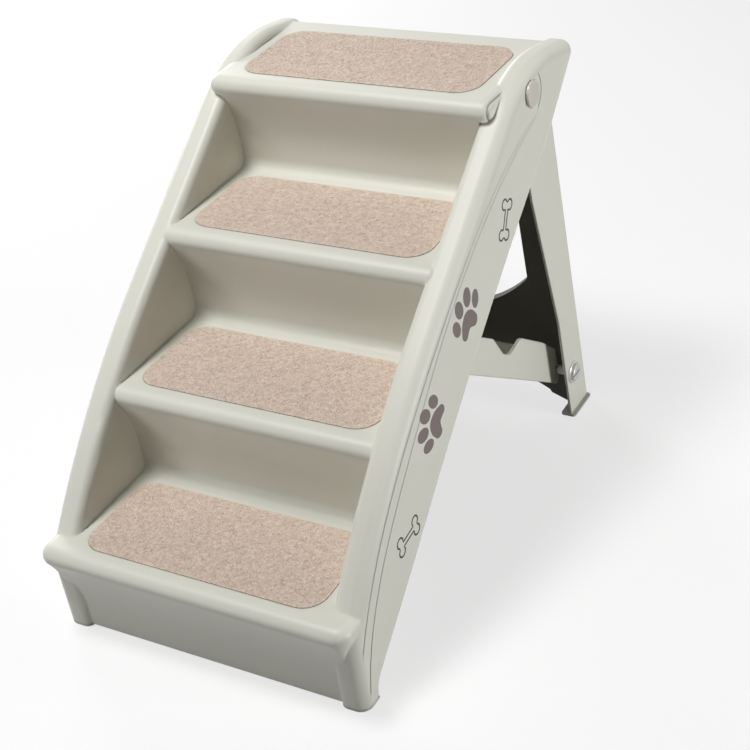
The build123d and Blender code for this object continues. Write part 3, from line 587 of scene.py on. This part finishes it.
# The studio: a white floor that keeps the soft shadow, a white surround, a lamp overhead, and
# weaker ones to the right of the stairs, before them, and behind them to the left.
floor_reach = 12
floor_colour = "#9A9A9A"
floor_glow = 0.68
white = (1, 1, 1, 1)
floor_corners = [(x * floor_reach, y * floor_reach, 0)
                 for x, y in ((-1, -1), (1, -1), (1, 1), (-1, 1))]
floor_mesh = bpy.data.meshes.new("floor")
floor_mesh.from_pydata(floor_corners, [], [(0, 1, 2, 3)])
floor = placed("floor", floor_mesh)

# Paper: dull, and lit up only where the camera or a reflection sees it, so that it turns white
paper, tree = new_finish("white_paper_floor")
sight = add(tree, "ShaderNodeLightPath")
seen = add(tree, "ShaderNodeMath", {
    0: sight.outputs["Is Camera Ray"], 1: sight.outputs["Is Glossy Ray"]}, operation="MAXIMUM")
diffuse = add(tree, "ShaderNodeBsdfDiffuse", {"Color": linear(floor_colour)})
glow = add(tree, "ShaderNodeEmission", {"Color": white, "Strength": floor_glow})
glowing = add(tree, "ShaderNodeAddShader", {0: diffuse.outputs[0], 1: glow.outputs[0]})
choice = add(tree, "ShaderNodeMixShader", {
    0: seen.outputs[0], 1: diffuse.outputs[0], 2: glowing.outputs[0]})
add(tree, "ShaderNodeOutputMaterial", {"Surface": choice.outputs[0]})
floor_mesh.materials.append(paper)

# The surround: seen as white, while it sheds only a trace of light on the stairs
surround_tint = (0.97, 0.985, 1.0, 1)
surround_fill = 0.03
world = bpy.data.worlds.new("white_surround")
bpy.context.scene.world = world
world.use_nodes = True
tree = world.node_tree
tree.nodes.clear()
sight = add(tree, "ShaderNodeLightPath")
seen = add(tree, "ShaderNodeMath", {
    0: sight.outputs["Is Camera Ray"], 1: sight.outputs["Is Transmission Ray"]},
    operation="MAXIMUM")
seen = add(tree, "ShaderNodeMath", {
    0: seen.outputs[0], 1: sight.outputs["Is Glossy Ray"]}, operation="MAXIMUM")
fill = add(tree, "ShaderNodeBackground", {"Color": surround_tint, "Strength": surround_fill})
shown = add(tree, "ShaderNodeBackground", {"Color": white, "Strength": 1.0})
choice = add(tree, "ShaderNodeMixShader", {
    0: seen.outputs[0], 1: fill.outputs[0], 2: shown.outputs[0]})
add(tree, "ShaderNodeOutputWorld", {"Surface": choice.outputs[0]})

for name, spot, target, size, power in (
        ("overhead_lamp", (-0.5, -0.5, 2.6), (0, 0, 0.25), 0.7, 47),
        ("side_lamp", (2.6, 0.3, 0.4), (0, 0, 0.25), 0.6, 35),
        ("front_lamp", (-1.2, -2.5, 0.45), (0, 0, 0.2), 1.0, 13),
        ("rear_lamp", (-2.2, 1.7, 0.9), (0, 0, 0.25), 1.2, 40)):
    lamp_data = bpy.data.lights.new(name, "AREA")
    lamp_data.shape = "SQUARE"
    lamp_data.size = size
    lamp_data.energy = power
    lamp = placed(name, lamp_data)
    lamp.location = spot
    lamp.rotation_euler = (Vector(target) - Vector(spot)).to_track_quat("-Z", "Y").to_euler()

# The camera: in front of the stairs to their right, looking down and turned a little.
# Its place, its three turns and its lens were fitted to the edges of the stairs.
camera_place = Vector((939.2, -1265.95, 1211.1)) * mm
camera_yaw, camera_pitch, camera_roll = radians(34.390), radians(33.220), radians(-9.356)
camera_lens = 76.18
camera_sensor = 36
back = Vector((
    sin(camera_yaw) * cos(camera_pitch), -cos(camera_yaw) * cos(camera_pitch), sin(camera_pitch)))
right = Vector((cos(camera_yaw), sin(camera_yaw), 0))
up = back.cross(right)
tilted_right = cos(camera_roll) * right + sin(camera_roll) * up
tilted_up = -sin(camera_roll) * right + cos(camera_roll) * up
camera_data = bpy.data.cameras.new("camera")
camera_data.lens = camera_lens
camera_data.sensor_width = camera_sensor
camera = placed("camera", camera_data)
camera.matrix_world = Matrix((
    (tilted_right.x, tilted_up.x, back.x, camera_place.x),
    (tilted_right.y, tilted_up.y, back.y, camera_place.y),
    (tilted_right.z, tilted_up.z, back.z, camera_place.z),
    (0, 0, 0, 1)))
bpy.context.scene.camera = camera
bpy.context.scene.view_settings.view_transform = "Standard"
